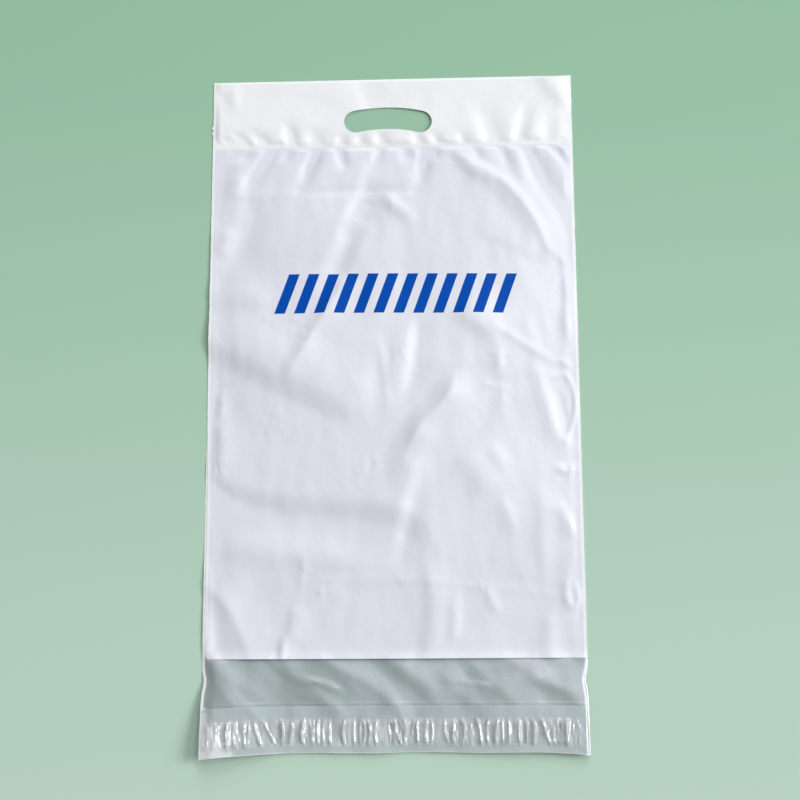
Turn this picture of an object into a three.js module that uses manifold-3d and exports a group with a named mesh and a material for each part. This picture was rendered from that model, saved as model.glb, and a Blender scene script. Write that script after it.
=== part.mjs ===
// A mailing bag of polyethylene film, lying on its back as it comes to rest.
//
// One length of film is folded at the handle end and welded along both sides. A cross seal
// under the fold closes the pouch and leaves a double band above it, and a kidney-shaped
// carry slot is punched through that band. At the other end the back ply runs on past the
// mouth as a flap. A stripe of hot-melt adhesive lies across the flap under a release liner.
//
// Millimetres, +Z up. X runs across the bag, +Y from the flap towards the handle end.
// The origin is the centre of the footprint, on the surface that the bag lies on.

import * as THREE from "three";
import { mergeVertices } from "three/addons/utils/BufferGeometryUtils.js";
import Module from "manifold-3d";

// Lengths of the bag
const BAG_WIDTH = 350;
const HANDLE_BAND = 70;
const POUCH_LENGTH = 490;
const FLAP_LENGTH = 85;

// Film and welds. The real film is 0.07 mm; a ply is drawn thicker so that it is a solid.
const FILM = 0.6;
const SIDE_WELD = 5;
const CROSS_SEAL = 3;
const WELD_BITE = 0.15;

// How the front ply stands off the back ply
const POUCH_RISE = 17;
const MOUTH_RISE = 8.5;
const SHOULDER = 85;
const THROAT = 140;
const FULLNESS = 4;
const LEAST_SWELL = 0.4;

// Carry slot
const SLOT_LENGTH = 85.5;
const SLOT_WIDTH = 22.5;
const SLOT_ARCH = 3.5;
const SLOT_ABOVE_SEAL = 25.5;
const SLOT_OFFSET = -4.5;

// Folds and puckers in the film
const FOLD_WIDTH = 13;
const FOLD_HEIGHT = 2.8;
const FOLD_MARGIN = 18;
const PUCKER_HEIGHT = 2.2;
const PUCKER_WIDTH = 7;
const PUCKER_REACH = 24;
const PUCKER_COUNT = 15;

// Flap, adhesive stripe and release liner
const LEFT_CURL = 11;
const RIGHT_CURL = 5.5;
const CURL_REACH = 80;
const ADHESIVE_WIDTH = 24.5;
const ADHESIVE_THICKNESS = 0.4;
const ADHESIVE_MARGIN = 6;
const ADHESIVE_INSET = 11;
const LINER_WIDTH = 42;
const LINER_THICKNESS = 0.4;
const LINER_MARGIN = 0.8;
const LINER_INSET = 2;
const CRINKLE_HEIGHT = 1.5;
const CRINKLE_PITCH = 11;
const CRINKLE_FADE = 5;
const SEAT_GAP = 0.3;

// How uneven the puckers and crinkles are: their places wander by a share of the pitch, their
// heights vary by a share of the height, and each wave says how fast that changes along a row.
const PUCKER_WANDER = 0.22;
const PUCKER_PLACE_WAVE = 2.4;
const PUCKER_VARIETY = 0.3;
const PUCKER_HEIGHT_WAVE = 1.7;
const CRINKLE_WANDER = 0.25;
const CRINKLE_PLACE_WAVE = 2.3;

// Rows and columns of facets
const PANEL_COLUMNS = 38;
const PANEL_ROWS = 26;
const BACK_ROWS = 4;
const PUCKER_ROWS = 4;
const BAND_ROWS = 3;
const FLAP_ROWS = 2;
const LINER_COLUMNS = 96;
const SLOT_STEPS = 10;
const MERGE_DISTANCE = 1e-4;

// Places along and across the bag
const HALF_WIDTH = BAG_WIDTH / 2;
const WELD_LINE = HALF_WIDTH - SIDE_WELD;
const HANDLE_END = (HANDLE_BAND + POUCH_LENGTH + FLAP_LENGTH) / 2;
const SEAL_Y = HANDLE_END - HANDLE_BAND;
const SEAL_TOP = SEAL_Y + CROSS_SEAL / 2;
const POUCH_TOP = SEAL_Y - CROSS_SEAL / 2;
const MOUTH_Y = SEAL_Y - POUCH_LENGTH;
const FLAP_END = MOUTH_Y - FLAP_LENGTH;
const ADHESIVE_LOW = FLAP_END + ADHESIVE_MARGIN;
const ADHESIVE_HIGH = ADHESIVE_LOW + ADHESIVE_WIDTH;
const ADHESIVE_EDGE = HALF_WIDTH - ADHESIVE_INSET;
const LINER_LOW = FLAP_END + LINER_MARGIN;
const LINER_HIGH = LINER_LOW + LINER_WIDTH;
const LINER_EDGE = HALF_WIDTH - LINER_INSET;

// The long folds of the front ply. Each line runs through points given as shares of the
// pouch: across from its left weld to its right one, and along from its mouth to its seal.
// Height and width are in fold heights and fold widths; a valley has a negative height.
const fold = (name, height, width, line) => ({ name, height, width, line });
const FOLDS = [
  fold("upper_left_valley", -0.9, 1, [[0.44, 0.93], [0.36, 0.81], [0.3, 0.7], [0.22, 0.6]]),
  fold("upper_left_ridge", 0.8, 1, [[0.42, 0.84], [0.36, 0.71], [0.2, 0.55]]),
  fold("upper_right_ridge", 1.3, 1.2, [[0.69, 0.98], [0.8, 0.93], [0.87, 0.87], [0.92, 0.79]]),
  fold("upper_right_valley", -0.6, 1, [[0.89, 0.98], [0.95, 0.88]]),
  fold("left_shelf", 1.5, 1.5, [[0.01, 0.62], [0.12, 0.57], [0.26, 0.52], [0.37, 0.47]]),
  fold("middle_ridge", 0.6, 0.8, [[0.54, 0.64], [0.5, 0.51]]),
  fold("comma_ridge", 1.4, 1, [[0.68, 0.49], [0.59, 0.45], [0.54, 0.37], [0.5, 0.25]]),
  fold("right_ridge", 0.9, 1, [[0.67, 0.4], [0.75, 0.33], [0.79, 0.28]]),
  fold("lower_shelf", 1.6, 1.4, [[0.01, 0.34], [0.2, 0.31], [0.36, 0.3], [0.52, 0.25]]),
  fold("lower_shelf_foot", -0.7, 1.1, [[0.03, 0.27], [0.3, 0.25], [0.48, 0.22]]),
  fold("left_corner_ridge", 0.9, 1.2, [[0.01, 0.14], [0.1, 0.05], [0.13, 0]]),
  fold("mouth_left_ridge", 0.6, 0.6, [[0.24, 0.1], [0.21, 0.02]]),
  fold("mouth_ridge", 0.8, 0.9, [[0.59, 0.15], [0.6, 0.06], [0.58, 0]]),
  fold("right_edge_ridge", 0.7, 0.6, [[0.98, 0.22], [0.95, 0.14], [0.96, 0.09]]),
];

const { lerp, smoothstep } = THREE.MathUtils;
const wasm = await Module();
wasm.setup();

// Evenly spaced values from one to the other, the last one left out.
const steps = (from, to, count) =>
  Array.from({ length: count }, (_, i) => lerp(from, to, i / count));

// The facet columns and rows of the plies. Pieces that lie on the flap share its rows.
const COLUMNS = [-HALF_WIDTH, ...steps(-WELD_LINE, WELD_LINE, PANEL_COLUMNS), WELD_LINE, HALF_WIDTH];
const STRIPE_STEPS = [ADHESIVE_LOW, ADHESIVE_LOW + CRINKLE_FADE, ADHESIVE_HIGH - CRINKLE_FADE, ADHESIVE_HIGH];
const FLAP_STEPS = [FLAP_END, ...STRIPE_STEPS, ...steps(LINER_HIGH, MOUTH_Y, FLAP_ROWS)];
const BAND_STEPS = [
  POUCH_TOP,
  ...steps(SEAL_TOP, SEAL_TOP + PUCKER_REACH, PUCKER_ROWS),
  ...steps(SEAL_TOP + PUCKER_REACH, HANDLE_END, BAND_ROWS),
  HANDLE_END,
];
const BACK_STEPS = [...FLAP_STEPS, ...steps(MOUTH_Y, POUCH_TOP, BACK_ROWS), ...BAND_STEPS];
const FRONT_STEPS = [
  ...steps(MOUTH_Y, POUCH_TOP - PUCKER_REACH, PANEL_ROWS),
  ...steps(POUCH_TOP - PUCKER_REACH, POUCH_TOP, PUCKER_ROWS),
  ...BAND_STEPS,
];

// Distance from a point to a line of straight stretches.
function distanceToLine(x, y, points) {
  let nearest = Infinity;
  for (let i = 1; i < points.length; i++) {
    const [ax, ay] = points[i - 1];
    const [bx, by] = points[i];
    const length2 = (bx - ax) ** 2 + (by - ay) ** 2;
    const along = THREE.MathUtils.clamp(((x - ax) * (bx - ax) + (y - ay) * (by - ay)) / length2, 0, 1);
    nearest = Math.min(nearest, Math.hypot(x - lerp(ax, bx, along), y - lerp(ay, by, along)));
  }
  return nearest;
}

const FOLD_LINES = FOLDS.map(({ line, height, width }) => ({
  points: line.map(([across, along]) => [
    lerp(-WELD_LINE, WELD_LINE, across),
    lerp(MOUTH_Y, SEAL_Y, along),
  ]),
  height: height * FOLD_HEIGHT,
  width: width * FOLD_WIDTH,
}));

// The long folds die away towards the side welds and the cross seal.
function folds(x, y) {
  const beside = smoothstep(WELD_LINE - Math.abs(x), 0, FOLD_MARGIN);
  const below = smoothstep(POUCH_TOP - y, 0, FOLD_MARGIN);
  const lift = ({ points, height, width }) =>
    height * Math.exp(-((distanceToLine(x, y, points) / width) ** 2));
  return beside * below * FOLD_LINES.reduce((sum, line) => sum + lift(line), 0);
}

// Short puckers that the cross seal draws into the film, spaced unevenly along it.
const PUCKERS = Array.from({ length: PUCKER_COUNT }, (_, i) => {
  const pitch = (2 * WELD_LINE) / PUCKER_COUNT;
  return {
    x: -WELD_LINE + pitch * (i + 0.5 + PUCKER_WANDER * Math.sin(PUCKER_PLACE_WAVE * i)),
    height: PUCKER_HEIGHT * (1 - PUCKER_VARIETY + PUCKER_VARIETY * Math.sin(PUCKER_HEIGHT_WAVE * i)),
  };
});

function puckers(x, y) {
  const along = 1 - smoothstep(Math.abs(y - SEAL_Y) - CROSS_SEAL / 2, 0, PUCKER_REACH);
  const across = smoothstep(HALF_WIDTH - Math.abs(x), 0, FOLD_MARGIN);
  const lift = (pucker) => pucker.height * Math.exp(-(((x - pucker.x) / PUCKER_WIDTH) ** 2));
  return along * across * PUCKERS.reduce((sum, pucker) => sum + lift(pucker), 0);
}

// The space between the plies: the pouch's swell, shut at the side welds and the cross seal.
function swell(x, y) {
  const across = 1 - Math.min(1, Math.abs(x) / WELD_LINE) ** FULLNESS;
  const along = smoothstep(POUCH_TOP - y, 0, SHOULDER);
  const rise = lerp(MOUTH_RISE, POUCH_RISE, smoothstep(y - MOUTH_Y, 0, THROAT));
  return rise * across * along;
}

// Underside of the back ply: flat, apart from the puckered band and the curled flap corners.
function underside(x, y) {
  const corner = smoothstep(Math.abs(x), HALF_WIDTH - CURL_REACH, HALF_WIDTH);
  const outwards = smoothstep(MOUTH_Y - y, 0, FLAP_LENGTH);
  const curl = (x < 0 ? LEFT_CURL : RIGHT_CURL) * corner * outwards;
  return curl + (y >= SEAL_TOP ? puckers(x, y) : 0);
}

const backTop = (x, y) => underside(x, y) + FILM;

// Underside of the front ply. Welded film bites into the back ply, free film stands off it,
// and a valley never presses it down by more than part of the swell.
function frontBottom(x, y) {
  const welded = backTop(x, y) - WELD_BITE;
  if (Math.abs(x) >= WELD_LINE || y >= POUCH_TOP) return welded;
  const free = swell(x, y);
  return welded + Math.max(free * LEAST_SWELL, free + folds(x, y)) + puckers(x, y);
}

const frontTop = (x, y) => frontBottom(x, y) + FILM;

// A closed solid between two height functions over a grid of columns and rows.
function sheet(columns, rows, bottom, top) {
  const positions = [];
  const triangle = (...corners) => corners.forEach((corner) => positions.push(...corner));
  const low = (i, j) => [columns[i], rows[j], bottom(columns[i], rows[j])];
  const high = (i, j) => [columns[i], rows[j], top(columns[i], rows[j])];
  const wall = (i, j, m, n) => {
    triangle(low(i, j), low(m, n), high(m, n));
    triangle(low(i, j), high(m, n), high(i, j));
  };
  const lastColumn = columns.length - 1;
  const lastRow = rows.length - 1;
  for (let i = 0; i < lastColumn; i++) {
    for (let j = 0; j < lastRow; j++) {
      triangle(high(i, j), high(i + 1, j), high(i + 1, j + 1));
      triangle(high(i, j), high(i + 1, j + 1), high(i, j + 1));
      triangle(low(i, j), low(i + 1, j + 1), low(i + 1, j));
      triangle(low(i, j), low(i, j + 1), low(i + 1, j + 1));
    }
    wall(i, 0, i + 1, 0);
    wall(i + 1, lastRow, i, lastRow);
  }
  for (let j = 0; j < lastRow; j++) {
    wall(0, j + 1, 0, j);
    wall(lastColumn, j, lastColumn, j + 1);
  }
  const geometry = new THREE.BufferGeometry();
  return solidFrom(geometry.setAttribute("position", new THREE.Float32BufferAttribute(positions, 3)));
}

// A closed three.js geometry as a solid that can be joined and cut.
function solidFrom(geometry) {
  const bare = geometry.index ? geometry.toNonIndexed() : geometry;
  const merged = mergeVertices(
    new THREE.BufferGeometry().setAttribute("position", bare.getAttribute("position")),
    MERGE_DISTANCE,
  );
  return new wasm.Manifold(
    new wasm.Mesh({
      numProp: 3,
      vertProperties: merged.attributes.position.array,
      triVerts: new Uint32Array(merged.index.array),
    }),
  );
}

// A solid back as a named three.js mesh.
function meshFrom(name, solid, material) {
  const { numProp, numVert, vertProperties, triVerts } = solid.asOriginal().getMesh();
  const positions = new Float32Array(numVert * 3);
  for (let i = 0; i < numVert; i++) {
    positions.set(vertProperties.subarray(i * numProp, i * numProp + 3), i * 3);
  }
  const geometry = new THREE.BufferGeometry()
    .setAttribute("position", new THREE.BufferAttribute(positions, 3))
    .setIndex(new THREE.BufferAttribute(triVerts, 1));
  geometry.computeVertexNormals();
  const mesh = new THREE.Mesh(geometry, material);
  mesh.name = name;
  return mesh;
}

// The punched slot: a stadium bent along an arc, arching towards the handle end.
function slotCutter() {
  const capRadius = SLOT_WIDTH / 2;
  const capCentre = SLOT_LENGTH / 2 - capRadius;
  const bendRadius = (capCentre ** 2 + SLOT_ARCH ** 2) / (2 * SLOT_ARCH);
  const bendCentre = SLOT_ARCH - bendRadius;
  const halfBend = Math.asin(capCentre / bendRadius);
  const up = Math.PI / 2;
  const outline = new THREE.Shape()
    .absarc(0, bendCentre, bendRadius + capRadius, up + halfBend, up - halfBend, true)
    .absarc(capCentre, 0, capRadius, up - halfBend, -up - halfBend, true)
    .absarc(0, bendCentre, bendRadius - capRadius, up - halfBend, up + halfBend, false)
    .absarc(-capCentre, 0, capRadius, -up + halfBend, -up - Math.PI + halfBend, true);
  const beyondBand = 2 * (FILM + PUCKER_HEIGHT);
  const settings = { depth: 2 * beyondBand, curveSegments: SLOT_STEPS, bevelEnabled: false };
  const cutter = new THREE.ExtrudeGeometry(outline, settings);
  return solidFrom(cutter.translate(SLOT_OFFSET, SEAL_Y + SLOT_ABOVE_SEAL, -beyondBand));
}

// Both plies, welded to each other, with the slot punched through the double band.
function bagFilm() {
  const back = sheet(COLUMNS, BACK_STEPS, underside, backTop);
  const front = sheet(COLUMNS, FRONT_STEPS, frontBottom, frontTop);
  return back.add(front).subtract(slotCutter());
}

// The stripe of hot melt across the flap.
function adhesiveStripe() {
  const columns = [...steps(-ADHESIVE_EDGE, ADHESIVE_EDGE, PANEL_COLUMNS), ADHESIVE_EDGE];
  const bottom = (x, y) => backTop(x, y) + SEAT_GAP;
  return sheet(columns, STRIPE_STEPS, bottom, (x, y) => bottom(x, y) + ADHESIVE_THICKNESS);
}

// Upright crinkles that stand close together along the liner, at an uneven pitch.
function crinkles(x, y) {
  const inwards = Math.min(y - ADHESIVE_LOW, ADHESIVE_HIGH - y);
  const fade = smoothstep(inwards, 0, CRINKLE_FADE) * smoothstep(LINER_EDGE - Math.abs(x), 0, ADHESIVE_INSET);
  const evenPlace = x / CRINKLE_PITCH;
  const place = evenPlace + CRINKLE_WANDER * Math.sin(CRINKLE_PLACE_WAVE * evenPlace);
  return CRINKLE_HEIGHT * fade * Math.abs(Math.sin(Math.PI * place));
}

// The liner lies over the adhesive and past both of its edges.
function releaseLiner() {
  const columns = [...steps(-LINER_EDGE, LINER_EDGE, LINER_COLUMNS), LINER_EDGE];
  const rows = [LINER_LOW, ...STRIPE_STEPS, LINER_HIGH];
  const over = 2 * SEAT_GAP + ADHESIVE_THICKNESS;
  const bottom = (x, y) => backTop(x, y) + over + crinkles(x, y);
  return sheet(columns, rows, bottom, (x, y) => bottom(x, y) + LINER_THICKNESS);
}

const whiteFilm = new THREE.MeshStandardMaterial({ color: 0xe2e4ea, roughness: 0.34, metalness: 0 });
const hotMelt = new THREE.MeshStandardMaterial({ color: 0xc9cbc3, roughness: 0.5, metalness: 0 });
const siliconedFilm = new THREE.MeshStandardMaterial({ color: 0xb9c3c9, roughness: 0.25, metalness: 0 });

const mailer = new THREE.Group();
mailer.add(
  meshFrom("bag_film", bagFilm(), whiteFilm),
  meshFrom("adhesive_stripe", adhesiveStripe(), hotMelt),
  meshFrom("release_liner", releaseLiner(), siliconedFilm),
);

export default mailer;
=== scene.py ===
"""Dresses the mailing bag: one folded and welded film, its adhesive stripe and its release liner."""

import logging
import math
from dataclasses import asdict, dataclass
from enum import Enum
from typing import Callable

import bmesh
import bpy
import numpy as np
from mathutils import Euler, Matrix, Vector, noise


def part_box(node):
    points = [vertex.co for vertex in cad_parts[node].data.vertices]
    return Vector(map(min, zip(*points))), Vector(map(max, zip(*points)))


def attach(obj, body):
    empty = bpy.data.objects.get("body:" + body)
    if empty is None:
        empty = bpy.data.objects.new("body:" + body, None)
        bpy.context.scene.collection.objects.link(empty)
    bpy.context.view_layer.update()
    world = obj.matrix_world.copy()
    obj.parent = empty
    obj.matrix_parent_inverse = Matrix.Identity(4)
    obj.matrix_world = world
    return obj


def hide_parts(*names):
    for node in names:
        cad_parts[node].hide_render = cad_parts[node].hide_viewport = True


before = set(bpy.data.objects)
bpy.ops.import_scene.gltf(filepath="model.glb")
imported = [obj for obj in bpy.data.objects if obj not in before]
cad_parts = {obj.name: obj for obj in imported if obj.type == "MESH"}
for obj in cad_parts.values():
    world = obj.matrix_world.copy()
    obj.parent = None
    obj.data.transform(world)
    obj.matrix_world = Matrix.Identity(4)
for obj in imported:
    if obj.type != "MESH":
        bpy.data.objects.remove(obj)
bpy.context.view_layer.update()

MM = 0.001
LOG = logging.getLogger("mailing_bag")

Place = Callable[[np.ndarray, np.ndarray], tuple[np.ndarray, np.ndarray, np.ndarray]]
Point = tuple[float, float]
Point3 = tuple[float, float, float]
Colour = tuple[float, float, float, float]

# A fold is followed out to this many of its widths, and fades over this share of its length
FOLD_REACH = 3.0
FOLD_ENDS = 0.3


# Helpers for shapes on the flat film


def smooth(value: np.ndarray, low: float, high: float) -> np.ndarray:
    """Eases from 0 to 1 between two limits.

    Args:
        value: The values to ease.
        low: Where the result is 0.
        high: Where the result is 1.

    Returns:
        The eased values.
    """
    share = np.clip((value - low) / (high - low), 0.0, 1.0)
    return share * share * (3.0 - 2.0 * share)


def soft_floor(value: np.ndarray, blend: float) -> np.ndarray:
    """Keeps values above 0, with a soft turn where they would cross it.

    Args:
        value: The values, in millimetres.
        blend: How soft the turn is, in square millimetres.

    Returns:
        The values, none of them below 0.
    """
    return 0.5 * (value + np.sqrt(value**2 + blend))


def film_noise(x: np.ndarray, y: np.ndarray, grain: float, octaves: int, layer: float) -> np.ndarray:
    """Samples smooth noise over the flat film.

    Args:
        x: Places across the bag, in millimetres.
        y: Places along the bag, in millimetres.
        grain: Size of the largest swells, in millimetres.
        octaves: How many finer levels are added.
        layer: Picks an independent pattern.

    Returns:
        Noise between about -1 and 1.
    """
    spots = zip((x / grain).tolist(), (y / grain).tolist())
    return np.array([noise.fractal((u, v, layer), 1.0, 2.0, octaves) for u, v in spots])


def bent(line: tuple[Point, ...], rounds: int = 2) -> list[Point]:
    """Cuts the corners of a line, so that a fold along it bends smoothly.

    Args:
        line: The points of the line.
        rounds: How many times its corners are cut.

    Returns:
        The points of the smoother line.
    """
    points = list(line)
    for _ in range(rounds if len(line) > 2 else 0):
        cut = [points[0]]
        for (ax, ay), (bx, by) in zip(points, points[1:]):
            cut.append((0.75 * ax + 0.25 * bx, 0.75 * ay + 0.25 * by))
            cut.append((0.25 * ax + 0.75 * bx, 0.25 * ay + 0.75 * by))
        points = cut + [points[-1]]
    return points


class Crest(Enum):
    """How a fold's cross-section comes to its crest and fades away from it."""

    SOFT = "round, with long soft sides"
    TIGHT = "nearly sharp, with long soft sides"
    STEP = "round, with sides that end at the fold's width"
    EDGE = "sharp, with sides that end at the fold's width"

    def profile(self, share: np.ndarray) -> np.ndarray:
        """Gives the share of the height that is left at a share of the fold's width."""
        if self is Crest.STEP:
            return 1.0 - smooth(share, 0.0, 1.0)
        if self is Crest.EDGE:
            return np.clip(1.0 - share, 0.0, 1.0) ** 1.5
        return np.exp(-(share ** (2.0 if self is Crest.SOFT else 1.3)))


@dataclass(frozen=True)
class Fold:
    """A ridge, or with a negative height a valley, along a line on the flat film.

    The name tells which fold of the bag it is. Sizes are in millimetres. The line follows the
    crest, or the bottom of a valley. On its left hand the fold falls away over the width near, and
    on its right hand over the width far. The ends keep a share of the height: run_out, or run_in
    at the start.
    """

    name: str
    line: tuple[Point, ...]
    height: float
    near: float
    far: float
    crest: Crest = Crest.SOFT
    run_out: float = 0.15
    run_in: float | None = None

    def lift(self, x: np.ndarray, y: np.ndarray) -> np.ndarray:
        """Gives the height that the fold adds.

        Args:
            x: Places across the bag.
            y: Places along the bag.

        Returns:
            The added height at each place.
        """
        points = bent(self.line)
        lifted = np.zeros(x.shape)
        reach = FOLD_REACH * max(self.near, self.far)
        across, up = zip(*points)
        beside = (x > min(across) - reach) & (x < max(across) + reach)
        close = beside & (y > min(up) - reach) & (y < max(up) + reach)
        x, y = x[close], y[close]
        nearest = np.full(x.shape, np.inf)
        along, hand = np.zeros(x.shape), np.zeros(x.shape)
        spans = [math.dist(a, b) for a, b in zip(points, points[1:])]
        start = 0.0
        for (ax, ay), (bx, by), span in zip(points, points[1:], spans):
            share = np.clip(((x - ax) * (bx - ax) + (y - ay) * (by - ay)) / span**2, 0.0, 1.0)
            off_x, off_y = x - ax - share * (bx - ax), y - ay - share * (by - ay)
            distance = np.maximum(np.hypot(off_x, off_y), 1e-6)
            turned = ((bx - ax) * off_y - (by - ay) * off_x) / (span * distance)
            closer = distance < nearest
            nearest = np.where(closer, distance, nearest)
            hand = np.where(closer, turned, hand)
            along = np.where(closer, (start + share * span) / sum(spans), along)
            start += span
        width = self.far + (self.near - self.far) * (0.5 + 0.5 * hand)
        run_in = self.run_out if self.run_in is None else self.run_in
        body = run_in + (1.0 - run_in) * smooth(along, 0.0, FOLD_ENDS)
        body *= self.run_out + (1.0 - self.run_out) * smooth(1.0 - along, 0.0, FOLD_ENDS)
        lifted[close] = self.height * body * self.crest.profile(nearest / width)
        return lifted


@dataclass(frozen=True)
class Crumple:
    """A small patch of broken creases round a point, in millimetres."""

    centre: Point
    reach: float
    height: float
    grain: float = 9.0

    def lift(self, x: np.ndarray, y: np.ndarray) -> np.ndarray:
        """Gives the height that the patch adds at each place."""
        inside = np.exp(-(np.hypot(x - self.centre[0], y - self.centre[1]) / self.reach) ** 2)
        lifted = np.zeros(x.shape)
        near = inside > 0.02
        ridges = film_noise(x[near], y[near], self.grain, 2, self.centre[0])
        lifted[near] = self.height * inside[near] * (1.0 - 2.4 * np.abs(ridges))
        return lifted


@dataclass(frozen=True)
class Pucker:
    """A short gather that the cross seal draws into the film.

    Place and reach are in millimetres. A positive lean carries the far end to the right. The
    strength is a share of the row's depth, and stretch a share of its widths.
    """

    place: float
    reach: float
    lean: float = 0.0
    strength: float = 1.0
    stretch: float = 1.0


@dataclass(frozen=True)
class PuckerRow:
    """The puckers on one side of the cross seal, dented into the film. Sizes are in millimetres."""

    puckers: tuple[Pucker, ...]
    side: int
    seal: float
    near: float = 4.8
    far: float = 3.6
    depth: float = 2.0

    def dent(self, x: np.ndarray, y: np.ndarray) -> np.ndarray:
        """Gives the depth of the row at each place."""
        away = (y - self.seal) * self.side
        total = np.zeros(x.shape)
        for pucker in self.puckers:
            offset = x - pucker.place - pucker.lean * np.maximum(away, 0.0)
            body = smooth(away, 0.6, 4.0) * (1.0 - smooth(away, 0.25 * pucker.reach, 1.25 * pucker.reach))
            spread = pucker.stretch * (1.0 + 0.7 * np.clip(away / pucker.reach, 0.0, 1.0))
            width = np.where(offset > 0.0, self.near, self.far) * spread
            total += self.depth * pucker.strength * body * np.exp(-((offset / width) ** 2))
        return total


# The folds of this bag, in millimetres on the flat film, from its handle end to its mouth

SEAL = 252.5

PUCKERS_ABOVE = PuckerRow(
    side=1,
    seal=SEAL,
    puckers=(
        Pucker(-168, 10, -0.4, 1.3, 1.2), Pucker(-156, 13, -0.5, 1.5), Pucker(-143, 17, -0.5, 1.6, 1.1),
        Pucker(-123, 19, -0.6, 1.4, 1.3), Pucker(-111, 8, 0.0, 0.6), Pucker(-98, 26, -0.15, 1.6),
        Pucker(-75, 21, -0.12, 1.1, 1.4), Pucker(-52, 14, 0.3, 1.1, 0.9), Pucker(-32, 15, 0.05, 1.0),
        Pucker(-11, 17, -0.1, 1.2, 1.1), Pucker(25, 16, -0.1, 1.2), Pucker(45, 17, -0.45, 0.9),
        Pucker(69, 15, -0.1, 0.8), Pucker(99, 50, -0.3, 1.2, 2.1), Pucker(121, 46, 0.25, 1.2, 1.2),
        Pucker(131, 9, 0.0, 0.6, 0.8), Pucker(138, 9, 0.2, 0.6, 0.7), Pucker(152, 42, 0.0, 0.9, 1.9),
        Pucker(163, 9, 0.2, 0.7, 0.7),
    ),
)

PUCKERS_BELOW = PuckerRow(
    side=-1,
    seal=SEAL,
    puckers=(
        Pucker(-171, 16, -0.25, 0.9), Pucker(-153, 14, -0.45, 1.1), Pucker(-141, 14, -0.4, 1.0),
        Pucker(-116, 52, -0.62, 1.6, 1.5), Pucker(-101, 17, -0.35, 0.9), Pucker(-73, 46, -0.4, 1.4, 1.2),
        Pucker(-53, 24, 0.25, 1.4, 0.8), Pucker(-12, 24, -0.3, 0.8), Pucker(12, 18, 0.0, 0.8),
        Pucker(31, 52, -0.13, 1.4, 1.2), Pucker(40, 15, 0.05, 0.9, 0.8), Pucker(80, 18, 0.2, 0.8),
        Pucker(104, 30, 0.35, 1.0), Pucker(128, 50, 0.33, 1.7, 1.3), Pucker(152, 26, 0.85, 1.2),
    ),
)

BAND_FOLDS = (
    Fold("corner_dimple", ((-169, 314), (-169, 296)), -0.9, 8, 3, Crest.SOFT, 0.3),
    Fold("corner_rim", ((-155, 318), (-154, 294)), 0.8, 5, 6, Crest.SOFT, 0.3),
    Fold("band_crease", ((-32, 322), (-19, 291)), -1.0, 18, 7, Crest.SOFT, 0.6),
    Fold("band_wave_left", ((-104, 316), (-62, 308), (-40, 299)), 0.5, 20, 8),
    Fold("beside_slot", ((40, 308), (42, 290)), 0.4, 12, 8),
    Fold("band_wedge", ((66, 316), (78, 292), (90, 270), (96, 258)), 0.5, 20, 16, Crest.SOFT, 0.3),
    Fold("right_corner_ridge", ((146, 326), (160, 308), (178, 291)), 1.9, 14, 9, Crest.SOFT, 0.6),
)

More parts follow.
